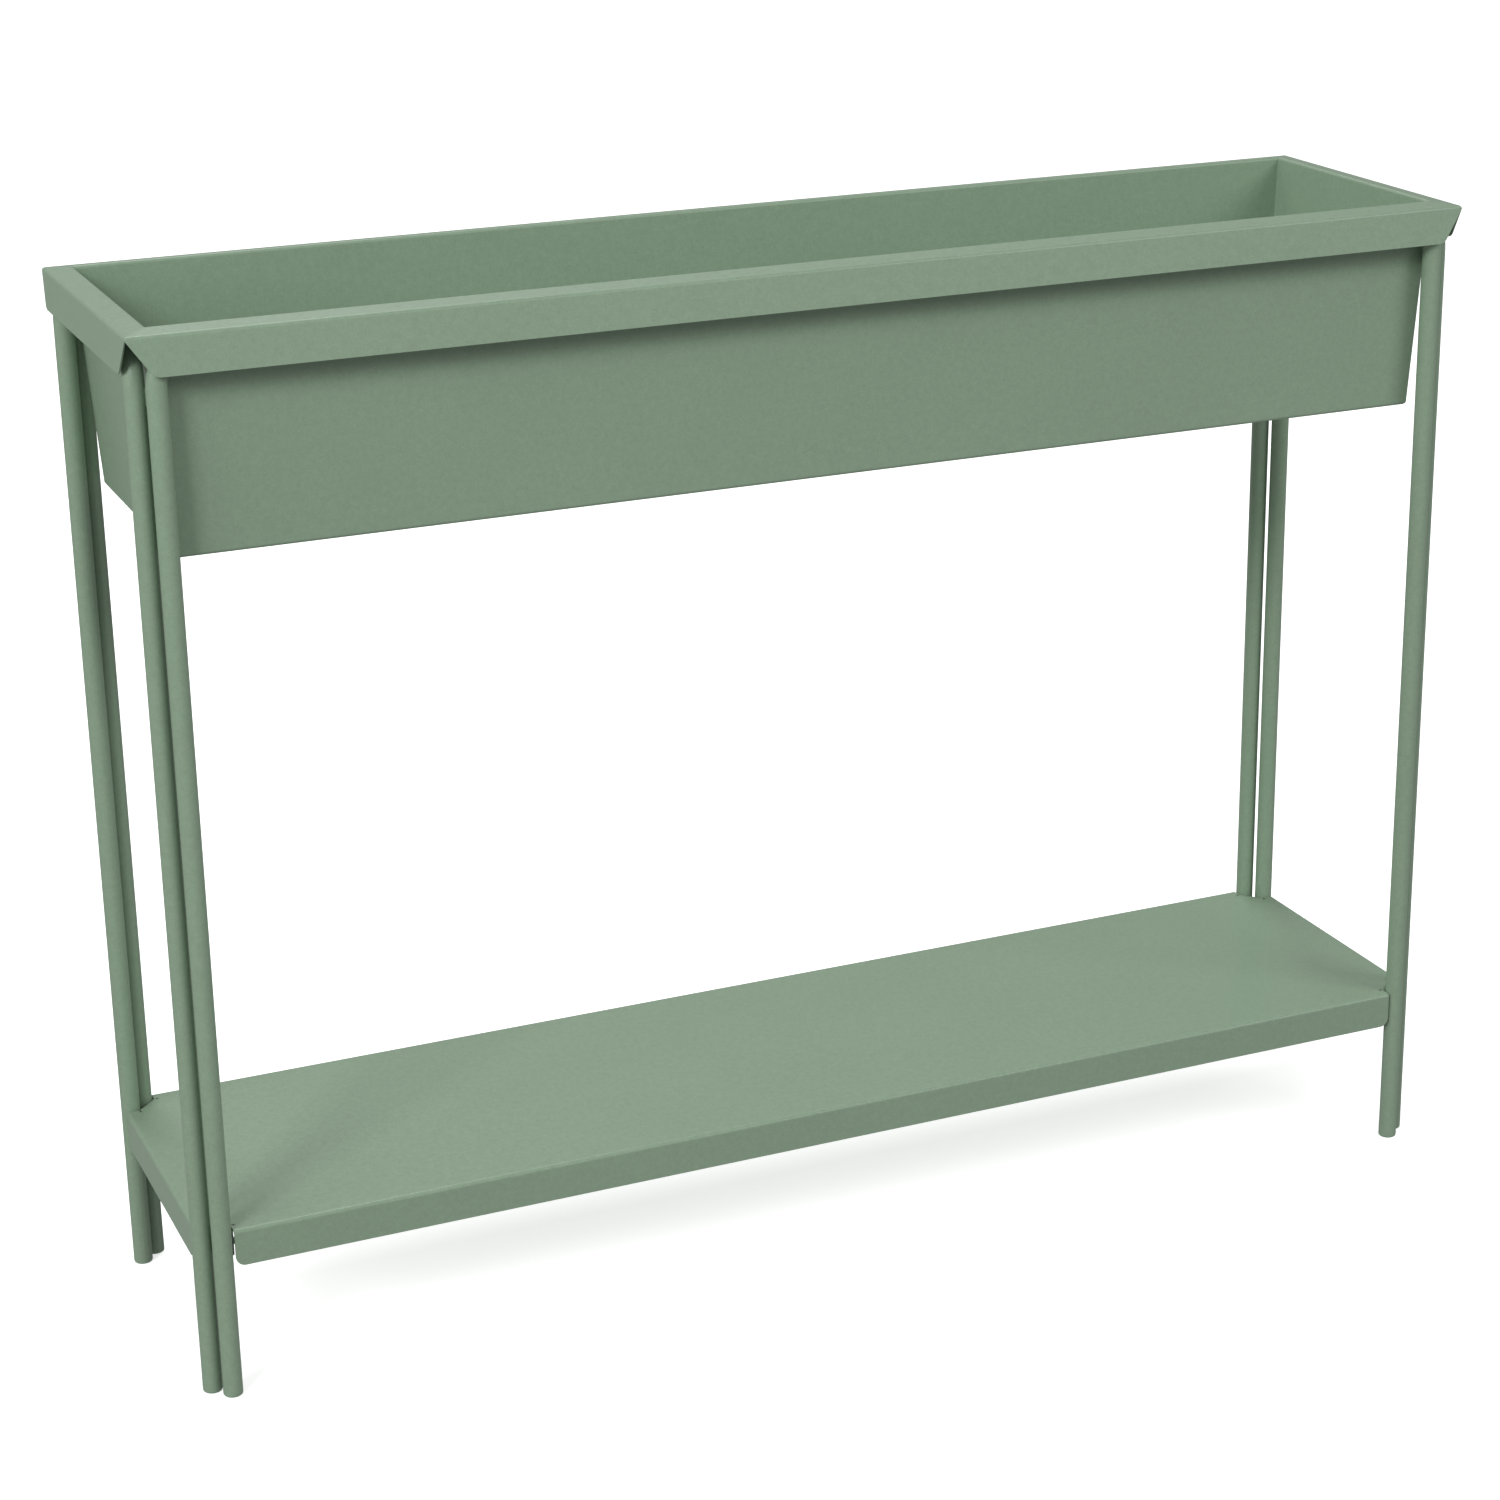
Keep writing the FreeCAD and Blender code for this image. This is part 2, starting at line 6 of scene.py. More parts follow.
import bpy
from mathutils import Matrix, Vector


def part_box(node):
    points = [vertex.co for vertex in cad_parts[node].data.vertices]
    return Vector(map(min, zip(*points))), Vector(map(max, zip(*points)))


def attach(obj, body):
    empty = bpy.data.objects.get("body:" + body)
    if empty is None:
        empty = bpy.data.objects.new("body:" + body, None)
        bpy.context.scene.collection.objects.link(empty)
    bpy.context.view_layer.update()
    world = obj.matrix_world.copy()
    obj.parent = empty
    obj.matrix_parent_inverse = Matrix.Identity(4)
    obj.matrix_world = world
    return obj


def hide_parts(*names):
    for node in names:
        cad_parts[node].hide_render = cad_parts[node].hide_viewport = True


bl_info = {
    "name": "Raised planter",
    "version": (1, 0, 0),
    "blender": (4, 5, 0),
    "location": "3D View > Sidebar > Planter",
    "description": "Builds the folded-steel trough, tube hoops and shelf of a raised planter",
    "category": "Object",
}

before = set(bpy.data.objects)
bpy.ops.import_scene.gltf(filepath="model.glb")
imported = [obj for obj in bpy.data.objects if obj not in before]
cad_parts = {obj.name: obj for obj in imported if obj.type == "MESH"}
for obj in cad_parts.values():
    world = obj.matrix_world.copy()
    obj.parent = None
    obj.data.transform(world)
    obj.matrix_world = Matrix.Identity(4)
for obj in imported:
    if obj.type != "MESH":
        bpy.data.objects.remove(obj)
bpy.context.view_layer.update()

import math

import bmesh
import bpy
from bpy.props import FloatProperty, FloatVectorProperty, IntProperty, PointerProperty
from mathutils import Matrix, Vector

CORNERS = {
    "front_left": (-1, -1),
    "front_right": (1, -1),
    "back_left": (-1, 1),
    "back_right": (1, 1),
}
HOOPS = ("front_hoop", "back_hoop", "left_hoop", "right_hoop")
TROUGH_NODES = ("trough_channel", "trough_end_left", "trough_end_right")
DIAGONAL = math.sqrt(0.5)
# Points closer than this are one point.
SEAM = 1e-6


# ------------------------------------------------------------ sizes of the frame
def node_points(node):
    """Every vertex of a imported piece."""
    return [vertex.co.copy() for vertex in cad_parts[node].data.vertices]


def near(value, target, within=2e-5):
    """Whether two lengths are the same, apart from rounding."""
    return abs(value - target) < within


class TroughFrame:
    """The trough's driving places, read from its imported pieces."""

    def __init__(self):
        low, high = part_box("trough_channel")
        end_low, end_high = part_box("trough_end_right")
        end_points = node_points("trough_end_right")
        self.top = high.z
        self.floor = end_low.z
        self.sheet = end_low.z - low.z
        self.rim = Vector((high.x, end_high.y))
        self.skirt_low = Vector((end_high.x, high.y))
        self.lip_edge_z = max(p.z for p in end_points if near(p.y, end_high.y))
        self.skirt_low_z = min(p.z for p in end_points if near(p.x, end_high.x))
        lip_inner_x = min(p.x for p in end_points if near(p.z, self.top))
        lip_width = self.rim.x - lip_inner_x
        self.lip_inner = self.rim - Vector((lip_width, lip_width))
        side_y = max(p.y for p in end_points if near(p.z, end_low.z) and near(p.x, end_low.x))
        self.floor_edge = Vector((end_low.x, side_y))


class StandFrame:
    """Tube centres, shelf edges and tab lines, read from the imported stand."""

    def __init__(self):
        end_low, end_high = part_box("right_hoop")
        long_low, long_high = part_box("back_hoop")
        tube_radius = (end_high.x - end_low.x) / 2
        self.end_leg = Vector(((end_low.x + end_high.x) / 2, end_high.y - tube_radius))
        self.long_leg = Vector((long_high.x - tube_radius, (long_low.y + long_high.y) / 2))
        low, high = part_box("shelf")
        self.shelf_low = low.z
        self.shelf_top = high.z
        self.shelf = Vector((high.x, high.y))
        points = node_points("shelf")
        apron_x = max(p.x for p in points if near(p.y, high.y) and near(p.z, high.z))
        apron_y = max(p.y for p in points if near(p.x, high.x) and near(p.z, high.z))
        self.apron = Vector((apron_x, apron_y))
        notch = [p for p in points if near(p.z, high.z) and near(p.x, apron_x) and 0 < p.y < high.y]
        # x + y along the line where a corner tab folds down
        self.tab_line = max(p.x + p.y for p in notch if not near(p.y, high.y))
        screw_low, screw_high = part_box("shelf_screws")
        self.screw_z = (screw_low.z + screw_high.z) / 2
        self.screw_head_radius = (screw_high.z - screw_low.z) / 2


TROUGH = TroughFrame()
STAND = StandFrame()


# --------------------------------------------------------------- user properties
class PLANTER_PG_sizes(bpy.types.PropertyGroup):
    """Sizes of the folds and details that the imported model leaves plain"""

    lip_fold: FloatProperty(
        name="Lip Fold", description="Outside radius of the fold between lip and skirt",
        default=0.0026, min=0.0013, unit="LENGTH")
    wall_fold: FloatProperty(
        name="Wall Fold", description="Outside radius of the fold between wall and lip",
        default=0.0022, min=0.0013, unit="LENGTH")
    floor_fold: FloatProperty(
        name="Floor Fold", description="Inside radius of the fold between floor and walls",
        default=0.0018, min=0.0005, unit="LENGTH")
    skirt_setback: FloatProperty(
        name="Skirt Setback", description="How far a skirt's end slopes back over its height",
        default=0.019, min=0.0, unit="LENGTH")
    skirt_corner: FloatProperty(
        name="Skirt Corner", description="Radius of a skirt's low corners",
        default=0.0095, min=0.001, unit="LENGTH")
    drain_radius: FloatProperty(
        name="Drain Radius", description="Radius of each drain hole in the trough's floor",
        default=0.004, min=0.001, unit="LENGTH")
    drain_spacing: FloatProperty(
        name="Drain Spacing", description="Distance between drain holes along the trough",
        default=0.28, min=0.02, unit="LENGTH")
    shelf_sheet: FloatProperty(
        name="Shelf Sheet", description="Thickness of the shelf's sheet",
        default=0.0015, min=0.0005, unit="LENGTH")
    shelf_fold: FloatProperty(
        name="Shelf Fold", description="Outside radius of the shelf's folds",
        default=0.0028, min=0.0016, unit="LENGTH")
    apron_corner: FloatProperty(
        name="Apron Corner", description="Radius of an apron's low corners",
        default=0.007, min=0.001, unit="LENGTH")
    tab_height: FloatProperty(
        name="Tab Height", description="How far the shelf's corner tabs are folded down",
        default=0.022, min=0.005, unit="LENGTH")
    screw_hole: FloatProperty(
        name="Screw Hole", description="Radius of each screw's hole in a corner tab",
        default=0.0027, min=0.0005, unit="LENGTH")
    screw_head: FloatProperty(
        name="Screw Head", description="Height of each screw's button head",
        default=0.0027, min=0.0005, unit="LENGTH")
    edge_round: FloatProperty(
        name="Edge Round", description="Width of the paint's rounding over cut sheet edges",
        default=0.00035, min=0.0, unit="LENGTH")
    fold_steps: IntProperty(
        name="Fold Steps", description="Number of flats that make up each fold",
        default=8, min=2, max=24)


class PLANTER_PG_finish(bpy.types.PropertyGroup):
    """Colours and surface values of the planter's finishes"""

    coat_color: FloatVectorProperty(
        name="Coat", description="Colour of the powder coat", subtype="COLOR", size=3,
        min=0.0, max=1.0, default=(0.268, 0.372, 0.265))
    coat_roughness: FloatProperty(
        name="Coat Roughness", description="Roughness of the powder coat",
        default=0.36, min=0.0, max=1.0, subtype="FACTOR")
    coat_grain: FloatProperty(
        name="Coat Grain", description="Strength of the powder coat's fine texture",
        default=0.35, min=0.0, max=1.0, subtype="FACTOR")
    # Darker than bright zinc: painted shade for the screw heads seen through the narrow gaps beside the
    # tubes.
    screw_color_painted_shade: FloatVectorProperty(
        name="Screws", description="Colour of the zinc-plated screws", subtype="COLOR", size=3,
        min=0.0, max=1.0, default=(0.4, 0.41, 0.42))
    floor_color: FloatVectorProperty(
        name="Floor", description="Colour of the studio floor", subtype="COLOR", size=3,
        min=0.0, max=1.0, default=(0.9, 0.9, 0.9))
    floor_glow: FloatProperty(
        name="Floor Glow", description="Light that the lit floor gives off by itself",
        default=0.68, min=0.0)


# --------------------------------------------------------------------- materials
def new_nodes(name):
    """A new material with its nodes, its links and its shader."""
    material = bpy.data.materials.new(name)
    material.use_nodes = True
    nodes = material.node_tree.nodes
    return material, nodes, material.node_tree.links, nodes["Principled BSDF"]


def noise(nodes, links, coords, scale, detail=2.0, roughness=0.5):
    """A noise over a piece's own coordinates, at a scale in cycles a metre."""
    texture = nodes.new("ShaderNodeTexNoise")
    texture.inputs["Scale"].default_value = scale
    texture.inputs["Detail"].default_value = detail
    texture.inputs["Roughness"].default_value = roughness
    links.new(coords.outputs["Object"], texture.inputs["Vector"])
    return texture


def spread(nodes, links, source, low, high):
    """Maps a noise's middle range onto two values."""
    span = nodes.new("ShaderNodeMapRange")
    span.inputs["From Min"].default_value = 0.3
    span.inputs["From Max"].default_value = 0.7
    span.inputs["To Min"].default_value = low
    span.inputs["To Max"].default_value = high
    links.new(source, span.inputs["Value"])
    return span.outputs["Result"]


def tinted(nodes, links, color, tone, socket):
    """Feeds a socket with a colour that a tone makes lighter and darker."""
    tint = nodes.new("ShaderNodeVectorMath")
    tint.operation = "SCALE"
    tint.inputs[0].default_value = tuple(color)
    links.new(tone, tint.inputs["Scale"])
    links.new(tint.outputs[0], socket)


# The powder coat's noises, in cycles a metre, and how far mottling and specks shift its tone.
CLOUD_SCALE = 9.0
MOTTLE_SCALE = 240.0
MOTTLE_DEPTH = 0.045
SPECK_SCALE = 1100.0
SPECK_DEPTH = 0.05
# Orange peel and the finer grain on it: cycles a metre and height.
COAT_SKIN = ((420.0, 0.0003), (1500.0, 0.00008))
# How far the coat's roughness wanders to each side.
SHEEN_SPREAD = 0.05


def coat_tone(nodes, links, coords, mottle):
    """Broad clouds, fine mottling and specks multiplied into one tone."""
    cloud = noise(nodes, links, coords, CLOUD_SCALE, detail=3.0)
    speck = noise(nodes, links, coords, SPECK_SCALE, detail=1.0)
    tone = spread(nodes, links, cloud.outputs["Fac"], 0.985, 1.015)
    for texture, depth in ((mottle, MOTTLE_DEPTH), (speck, SPECK_DEPTH)):
        shade = spread(nodes, links, texture.outputs["Fac"], 1.0 - depth, 1.0 + depth)
        product = nodes.new("ShaderNodeMath")
        product.operation = "MULTIPLY"
        links.new(tone, product.inputs[0])
        links.new(shade, product.inputs[1])
        tone = product.outputs[0]
    return tone


def coat_skin(nodes, links, coords, grain):
    """The normal of the coat's orange peel with its finer grain."""
    normal = None
    for scale, height in COAT_SKIN:
        skin = noise(nodes, links, coords, scale, detail=2.0, roughness=0.6)
        bump = nodes.new("ShaderNodeBump")
        bump.inputs["Strength"].default_value = grain
        bump.inputs["Distance"].default_value = height
        links.new(skin.outputs["Fac"], bump.inputs["Height"])
        if normal:
            links.new(normal, bump.inputs["Normal"])
        normal = bump.outputs["Normal"]
    return normal


def powder_coat(name, finish):
    """Sage powder coat: fine orange-peel skin, low sheen, colour that clouds a little."""
    material, nodes, links, shader = new_nodes(name)
    coords = nodes.new("ShaderNodeTexCoord")
    mottle = noise(nodes, links, coords, MOTTLE_SCALE, detail=3.0, roughness=0.6)
    tone = coat_tone(nodes, links, coords, mottle)
    tinted(nodes, links, finish.coat_color, tone, shader.inputs["Base Color"])
    low = finish.coat_roughness - SHEEN_SPREAD
    high = finish.coat_roughness + SHEEN_SPREAD
    links.new(spread(nodes, links, mottle.outputs["Fac"], low, high), shader.inputs["Roughness"])
    links.new(coat_skin(nodes, links, coords, finish.coat_grain), shader.inputs["Normal"])
    shader.inputs["IOR"].default_value = 1.45
    shader.inputs["Specular IOR Level"].default_value = 0.5
    return material


def zinc_plate(name, finish):
    """Zinc on the screws, with faint clouding in its colour and sheen. Its colour is darker than bright
    zinc as painted shade, so the heads seen through the narrow gaps beside the tubes look shaded.
    """
    material, nodes, links, shader = new_nodes(name)
    coords = nodes.new("ShaderNodeTexCoord")
    cloud = noise(nodes, links, coords, 700.0, detail=3.0)
    tone = spread(nodes, links, cloud.outputs["Fac"], 0.88, 1.08)
    tinted(nodes, links, finish.screw_color_painted_shade, tone, shader.inputs["Base Color"])
    links.new(spread(nodes, links, cloud.outputs["Fac"], 0.38, 0.55), shader.inputs["Roughness"])
    shader.inputs["Metallic"].default_value = 1.0
    return material


def studio_paper(name, finish):
    """Matt pale floor of the studio."""
    material, nodes, links, shader = new_nodes(name)
    coords = nodes.new("ShaderNodeTexCoord")
    cloud = noise(nodes, links, coords, 3.0)
    tone = spread(nodes, links, cloud.outputs["Fac"], 0.995, 1.005)
    tinted(nodes, links, finish.floor_color, tone, shader.inputs["Base Color"])
    shader.inputs["Roughness"].default_value = 0.9
    shader.inputs["Specular IOR Level"].default_value = 0.1
    shader.inputs["Emission Color"].default_value = (1.0, 1.0, 1.0, 1.0)
    shader.inputs["Emission Strength"].default_value = finish.floor_glow
    return material


MATERIALS = {"coat": powder_coat, "zinc": zinc_plate, "paper": studio_paper}


def finish_of(kind, name):
    """The material of a finish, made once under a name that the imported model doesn't use."""
    found = bpy.data.materials.get(name)
    return found or MATERIALS[kind](name, bpy.context.scene.planter_finish)


# -------------------------------------------------------------- drawing in sheet
def rounded_path(points, radii, steps):
    """A path through 2-D points with each inner corner rounded by its own radius."""
    path = [Vector(points[0])]
    for before, corner, after, radius in zip(points, points[1:], points[2:], radii):
        corner = Vector(corner)
        back = (Vector(before) - corner).normalized()
        ahead = (Vector(after) - corner).normalized()
        half = back.angle(ahead) / 2
        centre = corner + (back + ahead).normalized() * radius / math.sin(half)
        start = corner + back * radius / math.tan(half) - centre
        end = corner + ahead * radius / math.tan(half) - centre
        first = math.atan2(start.y, start.x)
        turn = math.remainder(math.atan2(end.y, end.x) - first, 2 * math.pi)
        for step in range(steps + 1):
            angle = first + turn * step / steps
            path.append(centre + radius * Vector((math.cos(angle), math.sin(angle))))
    path.append(Vector(points[-1]))
    return path


def hem_rows(height, setback, radius, steps):
    """Share of the height and setback of each row of a flap whose low corners are round."""
    # far enough along the low edge for its corner's arc to fit
    far = setback + 4 * radius
    rows = rounded_path([(0, 0), (setback, height), (far, height)], [radius], steps)
    return [(row.y / height, row.x) for row in rows[1:-1]]


def add_strip(bm, rows):
    """Skins rows of points, each row as long as the next, with quads."""
    made = [[bm.verts.new(point) for point in row] for row in rows]
    faces = []
    for upper, lower in zip(made, made[1:]):
        for i in range(len(upper) - 1):
            faces.append(bm.faces.new((upper[i], lower[i], lower[i + 1], upper[i + 1])))
    return faces


def join_rings(bm, rings):
    """Skins closed rings of points in their order and closes both ends."""
    made = [[bm.verts.new(point) for point in ring] for ring in rings]
    for lower, upper in zip(made, made[1:]):
        for k in range(len(lower)):
            after = (k + 1) % len(lower)
            bm.faces.new((lower[k], lower[after], upper[after], upper[k]))
    bm.faces.new(made[-1])
    bm.faces.new(made[0][::-1])


def face_towards(faces, facing):
    """Turns each face to the side that a direction points to."""
    for face in faces:
        face.normal_update()
        if face.normal.dot(facing) < 0:
            face.normal_flip()


def add_circle(bm, centre, radius, across, along, steps=32):
    """A ring of edges about a centre, in the plane of two directions."""
    ring = []
    for i in range(steps):
        angle = 2 * math.pi * i / steps
        ring.append(bm.verts.new(centre + radius * (math.cos(angle) * across + math.sin(angle) * along)))
    return [bm.edges.new((ring[i], ring[(i + 1) % steps])) for i in range(steps)]


def fill_panel(bm, edges, facing):
    """Fills an outline with any holes in it, facing one way."""
    made = bmesh.ops.triangle_fill(bm, use_beauty=True, edges=edges, normal=facing)
    faces = [item for item in made["geom"] if isinstance(item, bmesh.types.BMFace)]
    face_towards(faces, facing)


def mesh_object(name, bm, material, smooth_below=math.radians(32)):
    """Turns a bmesh into a smooth-shaded object whose steep edges stay sharp."""
    mesh = bpy.data.meshes.new(name)
    bm.to_mesh(mesh)
    bm.free()
    mesh.materials.append(material)
    mesh.shade_smooth()
    mesh.set_sharp_from_angle(angle=smooth_below)
    piece = bpy.data.objects.new(name, mesh)
    bpy.context.scene.collection.objects.link(piece)
    return piece


def give_thickness(piece, thickness, edge_round):
    """Makes a skin into sheet: thickness behind it, soft cut edges, flat faces kept flat."""
    solid = piece.modifiers.new("sheet", "SOLIDIFY")
    solid.thickness = thickness
    solid.offset = -1.0
    solid.use_even_offset = True
    solid.use_quality_normals = True
    bevel = piece.modifiers.new("paint_edge", "BEVEL")
    bevel.width = edge_round
    bevel.segments = 2
    bevel.limit_method = "ANGLE"
    bevel.angle_limit = math.radians(40)
    weighted = piece.modifiers.new("flat_faces", "WEIGHTED_NORMAL")
    weighted.keep_sharp = True
    return piece


# ------------------------------------------------------------------------ trough
# Strip of floor beside each floor fold, and how close to a side's ends its extra columns stand.
FLOOR_STRIP = 0.012
COLUMN_INSET = 0.005


def trough_profile(axis, sizes):
    """Half section along one axis: floor, wall, lip and skirt, with their folds."""
    corners = [
        (TROUGH.floor_edge[axis] - FLOOR_STRIP, TROUGH.floor),
        (TROUGH.floor_edge[axis], TROUGH.floor),
        (TROUGH.lip_inner[axis], TROUGH.top),
        (TROUGH.rim[axis], TROUGH.lip_edge_z),
        (TROUGH.skirt_low[axis], TROUGH.skirt_low_z),
    ]
    radii = (sizes.floor_fold, sizes.wall_fold, sizes.lip_fold)
    return rounded_path(corners, radii, sizes.fold_steps)


def trough_rows(sizes):
    """Rows up the wall, over the lip and down the skirt: (half length, half width, height, setback)."""
    pairs = zip(trough_profile(0, sizes), trough_profile(1, sizes))
    rows = [(along.x, across.x, (along.y + across.y) / 2, 0.0) for along, across in pairs]
    low_edge = rows.pop()[:3]
    fold = rows[-1][:3]
    height = (Vector(low_edge) - Vector(fold)).length
    for share, setback in hem_rows(height, sizes.skirt_setback, sizes.skirt_corner, sizes.fold_steps):
        point = [a + (b - a) * share for a, b in zip(fold, low_edge)]
        rows.append((*point, setback))
    return rows


def side_row(half_length, half_width, height, setback, side):
    """One row of one side, from end to end, with a column close to each end."""
    reach = (half_length if side in ("front", "back") else half_width) - setback
    stations = [-reach, -reach + COLUMN_INSET, reach - COLUMN_INSET, reach]
    if side == "front":
        return [Vector((s, -half_width, height)) for s in stations]
    if side == "back":
        return [Vector((-s, half_width, height)) for s in stations]
    if side == "left":
        return [Vector((-half_length, -s, height)) for s in stations]
    return [Vector((half_length, s, height)) for s in stations]


def add_floor(bm, height, sizes):
    """Fills the trough's floor inside its folds, round the drain holes."""
    outline = [e for e in bm.edges if e.is_boundary and all(near(v.co.z, height) for v in e.verts)]
    for i in (-1, 0, 1):
        centre = Vector((i * sizes.drain_spacing, 0, height))
        outline += add_circle(bm, centre, sizes.drain_radius, Vector((1, 0, 0)), Vector((0, 1, 0)))
    fill_panel(bm, outline, Vector((0, 0, 1)))


def build_trough(sizes):
    """One welded and painted skin: floor, four walls, lips and skirts."""
    bm = bmesh.new()
    rows = trough_rows(sizes)
    for side in ("front", "right", "back", "left"):
        add_strip(bm, [side_row(*row, side) for row in rows])
    bmesh.ops.remove_doubles(bm, verts=bm.verts, dist=SEAM)
    bm.normal_update()
    wall = max(bm.faces, key=lambda face: face.calc_area())
    if wall.normal.dot(wall.calc_center_median() * Vector((1, 1, 0))) > 0:
        bmesh.ops.reverse_faces(bm, faces=bm.faces)
    add_floor(bm, rows[0][2], sizes)
    piece = mesh_object("trough_shell", bm, finish_of("coat", "trough_powder"))
    return give_thickness(piece, TROUGH.sheet, sizes.edge_round)


# ------------------------------------------------------------------------- shelf
def apron_rows(out, half, sizes, turn):
    """Rows of an apron, from the plate, over the fold and down to its round corners."""
    start = out - 2 * sizes.shelf_fold
    corners = [(start, STAND.shelf_top), (out, STAND.shelf_top), (out, STAND.shelf_low)]
    path = rounded_path(corners, [sizes.shelf_fold], sizes.fold_steps)
    rows = [(point.x, point.y, 0.0) for point in path[:-1]]
    fold_z = rows[-1][1]
    height = fold_z - STAND.shelf_low
    for share, setback in hem_rows(height, 0.0, sizes.apron_corner, sizes.fold_steps):
        rows.append((out, fold_z - share * height, setback))
    return [[turn @ Vector((s * (half - setback), -o, z)) for s in (-1, 1)] for o, z, setback in rows]


def corner_outline(sizes):
    """The plate's outline at the +X +Y corner, from the end apron to the side apron."""
    fold = 2 * sizes.shelf_fold
    step = fold * DIAGONAL
    near_end = Vector((STAND.tab_line - STAND.apron.y, STAND.apron.y))
    near_side = Vector((STAND.apron.x, STAND.tab_line - STAND.apron.x))
    return [
        Vector((STAND.shelf.x - fold, STAND.apron.y)),
        Vector((near_end.x - step, near_end.y)),
        near_end - Vector((step, step)),
        near_side - Vector((step, step)),
        Vector((near_side.x, near_side.y - step)),
        Vector((STAND.apron.x, STAND.shelf.y - fold)),
    ]


def tab_place(sx, sy):
    """Middle and half width of a corner's tab, with the ways it faces and runs."""
    near_end = Vector((sx * (STAND.tab_line - STAND.apron.y), sy * STAND.apron.y, 0))
    near_side = Vector((sx * STAND.apron.x, sy * (STAND.tab_line - STAND.apron.x), 0))
    out = Vector((sx * DIAGONAL, sy * DIAGONAL, 0))
    along = Vector((-sx * DIAGONAL, sy * DIAGONAL, 0))
    return (near_end + near_side) / 2, (near_side - near_end).length / 2, out, along


def tab_outline(bm, top, bottom):
    """The edges round a tab's flat face, from its fold's last row to its low edge."""
    loop = [*top, *bottom]
    edges = []
    for i, corner in enumerate(loop):
        after = loop[(i + 1) % len(loop)]
        edges.append(bm.edges.get((corner, after)) or bm.edges.new((corner, after)))
    return edges


def add_tab(bm, sx, sy, sizes):
    """A corner tab: folded down at 45 degrees, with a hole for each of its two screws."""
    middle, half, out, along = tab_place(sx, sy)
    low = STAND.shelf_top - sizes.tab_height
    corners = [(-2 * sizes.shelf_fold, STAND.shelf_top), (0, STAND.shelf_top), (0, low)]
    path = rounded_path(corners, [sizes.shelf_fold], sizes.fold_steps)
    rows = []
    for o, z in path[:-1]:
        rows.append([middle + out * o + along * s * half + Vector((0, 0, z)) for s in (-1, 1)])
    fold = add_strip(bm, rows)
    top = [vert for vert in fold[-1].verts if near(vert.co.z, path[-2].y)]
    top.sort(key=lambda vert: vert.co.dot(along))
    bottom = [bm.verts.new(middle + along * s * half + Vector((0, 0, low))) for s in (1, -1)]
    outline = tab_outline(bm, top, bottom)
    for tube in (STAND.end_leg, STAND.long_leg):
        leg = Vector((sx * tube.x, sy * tube.y, 0))
        centre = middle + along * (leg - middle).dot(along) + Vector((0, 0, STAND.screw_z))
        outline += add_circle(bm, centre, sizes.screw_hole, along, Vector((0, 0, 1)), steps=24)
    fill_panel(bm, outline, out)
    face_towards(fold, out + Vector((0, 0, 1)))


def add_plate(bm, sizes):
    """The shelf's flat top inside its folds, notched at each corner."""
    quarter = corner_outline(sizes)
    plan = []
    for sx, sy in ((1, 1), (-1, 1), (-1, -1), (1, -1)):
        ordered = quarter if sx * sy > 0 else quarter[::-1]
        plan += [Vector((sx * p.x, sy * p.y, STAND.shelf_top)) for p in ordered]
    plate = bm.faces.new([bm.verts.new(point) for point in plan])
    face_towards([plate], Vector((0, 0, 1)))


def build_shelf(sizes):
    """The folded shelf: plate, four aprons and four corner tabs."""
    bm = bmesh.new()
    add_plate(bm, sizes)
    front = (STAND.shelf.y, STAND.apron.x)
    end = (STAND.shelf.x, STAND.apron.y)
    for turns, (out, half) in enumerate((front, end, front, end)):
        turn = Matrix.Rotation(turns * math.pi / 2, 3, "Z")
        faces = add_strip(bm, apron_rows(out, half, sizes, turn))
        face_towards(faces, turn @ Vector((0, -1, 1)))
    for sx, sy in CORNERS.values():
        add_tab(bm, sx, sy, sizes)
    bmesh.ops.remove_doubles(bm, verts=bm.verts, dist=SEAM)
    piece = mesh_object("shelf_pan", bm, finish_of("coat", "shelf_powder"))
    return give_thickness(piece, sizes.shelf_sheet, sizes.edge_round)


# ----------------------------------------------------------------- small pieces
SCREW_SIDES = 36
DOME_RINGS = 7


def hexagon(angle, across_corners):
    """How far a hexagon's side is from its middle at an angle."""
    from_flat = math.remainder(angle, math.pi / 3)
    return across_corners / 2 * math.cos(math.pi / 6) / math.cos(from_flat)


def screw_rings(head_radius, head_height):
    """Rings of a button head on +Z: up its rim, over the dome and down a hexagon socket."""
    angles = [2 * math.pi * k / SCREW_SIDES for k in range(SCREW_SIDES)]
    rim = head_height * 0.12
    socket_depth = head_height * 0.6
    # across the hexagon's corners, and the round mouth that the dome ends at
    socket = head_radius
    mouth = socket / 2 * 1.15
    profile = [(head_radius * 0.96, 0.0), (head_radius, rim)]
    for i in range(DOME_RINGS):
        # from 8 to 80 degrees up the dome
        rise = math.radians(8 + 12 * i)
        radius = mouth + (head_radius - mouth) * math.cos(rise)
        profile.append((radius, rim + (head_height - rim) * math.sin(rise)))
    rings = [[Vector((radius * math.cos(a), radius * math.sin(a), height)) for a in angles]
             for radius, height in profile]
    for height in (head_height, head_height - socket_depth):
        rings.append([Vector((hexagon(a, socket) * math.cos(a), hexagon(a, socket) * math.sin(a), height))
                      for a in angles])
    return rings


def build_screws(sizes):
    """A button-head screw on the inner face of a tab, opposite each tube."""
    bm = bmesh.new()
    rings = screw_rings(STAND.screw_head_radius, sizes.screw_head)
    face = (STAND.end_leg.x + STAND.end_leg.y - STAND.tab_line) * DIAGONAL + sizes.shelf_sheet
    for sx, sy in CORNERS.values():
        inward = Vector((-sx * DIAGONAL, -sy * DIAGONAL, 0))
        turn = inward.to_track_quat("Z", "Y").to_matrix()
        for leg in (STAND.end_leg, STAND.long_leg):
            seat = Vector((sx * leg.x, sy * leg.y, STAND.screw_z)) + inward * face
            join_rings(bm, [[seat + turn @ point for point in ring] for ring in rings])
    return mesh_object("screw_heads", bm, finish_of("zinc", "screw_zinc"))


